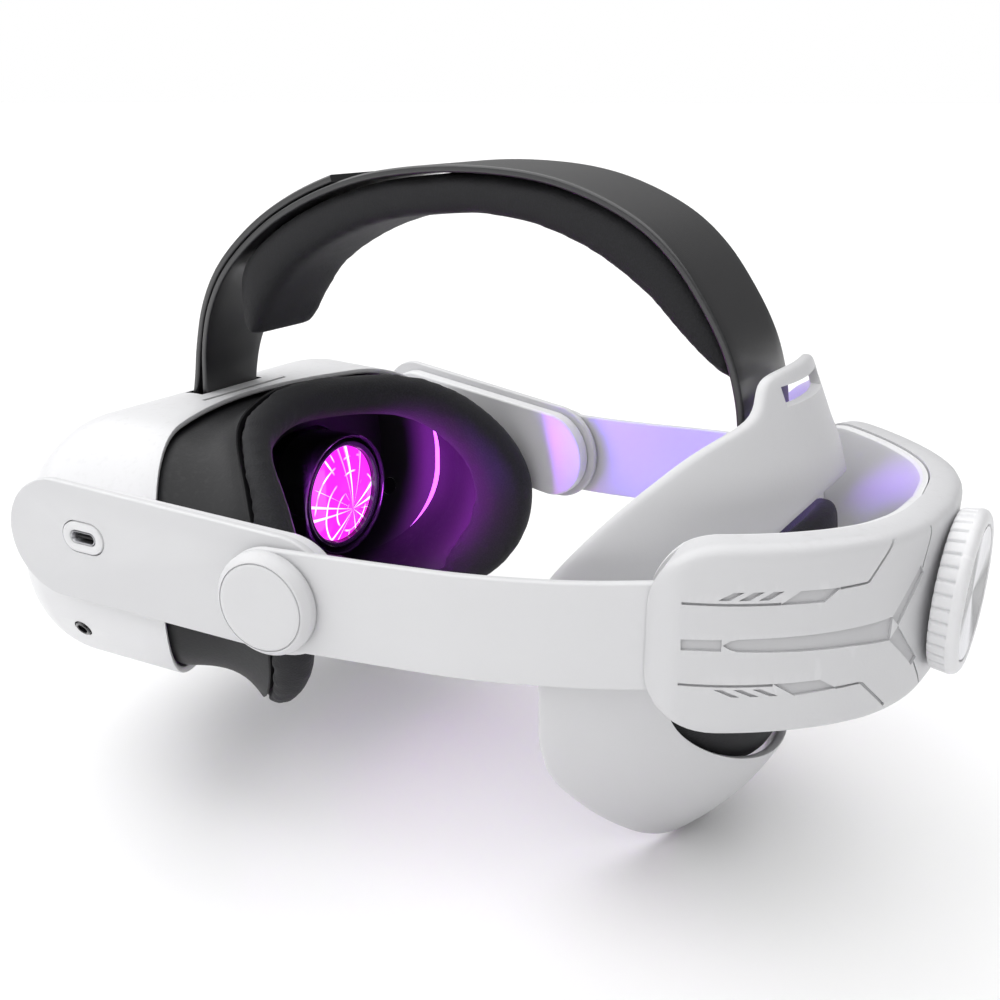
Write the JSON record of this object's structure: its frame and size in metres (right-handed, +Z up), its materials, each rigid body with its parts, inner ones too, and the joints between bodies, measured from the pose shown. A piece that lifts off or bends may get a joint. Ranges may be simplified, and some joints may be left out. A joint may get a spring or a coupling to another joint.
{
  "type": "vr headset",
  "caption": "Face-worn display headset with a padded visor, sliding lenses, side arms, a tilting halo band, a turn-knob rear cradle and a padded top strap.",
  "frame": {"origin": "middle of the headset's box at its lowest level, the bottom of the rear cradle", "axes": "+Z up, the visor faces -Y and the size knob is at +Y, the wearer's left side is +X"},
  "size_m": [0.2014, 0.307, 0.2116],
  "materials": {
    "white_plastic": "satin white",
    "grey_plastic": "satin light grey",
    "black_plastic": "matt black",
    "black_foam": "soft black foam with a fine skin",
    "black_strap": "half-gloss black strap",
    "steel": "brushed",
    "board": "coated board",
    "lens_glass": "polished, lit violet from behind",
    "display": "glossy lit panel",
    "cell": "wrapped cell",
    "heat_spreader": "plain"
  },
  "bodies": {
    "visor": {"visor_shell": "white_plastic", "audio_jack": "black_plastic", "camera_top_left": "black_plastic", "camera_top_right": "black_plastic", "camera_low_left": "black_plastic", "camera_low_right": "black_plastic", "battery": "cell", "fan_housing": "black_plastic", "heat_sink": "heat_spreader", "main_board": "board", "display_panel": "display", "lens_rail": "steel", "eye_plate": "black_plastic", "proximity_sensor": "black_plastic", "face_cushion": "black_foam", "face_frame": "black_plastic", "arm_left": "white_plastic", "arm_right": "white_plastic", "arm_cover_left": "white_plastic", "arm_cover_right": "white_plastic", "usb_boss": "white_plastic", "usb_socket": "steel", "usb_tongue": "black_plastic", "top_strap": "black_strap", "strap_fold": "black_strap", "strap_bar": "steel", "top_pad": "black_foam"},
    "halo": {"side_band_left": "white_plastic", "side_band_right": "white_plastic", "pivot_cap_left": "white_plastic", "pivot_cap_right": "white_plastic"},
    "cradle": {"rear_shell": "white_plastic", "shell_liner": "white_plastic", "cradle_plate": "white_plastic", "plate_post_left": "white_plastic", "plate_post_right": "white_plastic", "rear_pad": "black_foam"},
    "size_knob": {"knob": "white_plastic", "knob_inlay": "steel", "knob_pinion": "steel"},
    "left_eye": {"lens_barrel_left": "black_plastic", "lens_left": "lens_glass"},
    "right_eye": {"lens_barrel_right": "black_plastic", "lens_right": "lens_glass"},
    "fan": {"fan_rotor": "grey_plastic"},
    "power_key": {"power_button": "grey_plastic"},
    "volume_key": {"volume_rocker": "grey_plastic"}
  },
  "joints": [
    {"name": "halo_tilt", "type": "hinge", "parent": "visor", "child": "halo", "pos_m": [0, -0.0225, 0.093], "axis": [1, 0, 0], "range_deg": [-5, 6]},
    {"name": "size_slide", "type": "slide", "parent": "halo", "child": "cradle", "axis": [0, 1, 0], "range_m": [0, 0.004]},
    {"name": "knob_turn", "type": "hinge", "parent": "cradle", "child": "size_knob", "pos_m": [0, 0.1459, 0.104], "axis": [0, 1, 0], "range_deg": [0, 47]},
    {"name": "left_lens_slide", "type": "slide", "parent": "visor", "child": "left_eye", "axis": [1, 0, 0], "range_m": [-0.0025, 0.0025]},
    {"name": "right_lens_slide", "type": "slide", "parent": "visor", "child": "right_eye", "axis": [1, 0, 0], "range_m": [-0.0025, 0.0025]},
    {"name": "fan_spin", "type": "hinge", "parent": "visor", "child": "fan", "pos_m": [0.041, -0.144, 0.08], "axis": [0, 1, 0], "continuous": true},
    {"name": "power_press", "type": "slide", "parent": "visor", "child": "power_key", "axis": [0.9101, -0.06, 0.41], "range_m": [0, 0.0008], "stiffness_N_per_m": 700, "springref_m": -0.0006},
    {"name": "volume_rock", "type": "hinge", "parent": "visor", "child": "volume_key", "pos_m": [0.046, -0.1145, 0.0361], "axis": [0, 1, 0], "range_deg": [-2, 2], "stiffness_Nm_per_rad": 0.05}
  ],
  "couplings": [
    {"joint": "size_slide", "follows": "knob_turn", "m_per_rad": 0.0048},
    {"joint": "right_lens_slide", "follows": "left_lens_slide", "ratio": -1}
  ]
}
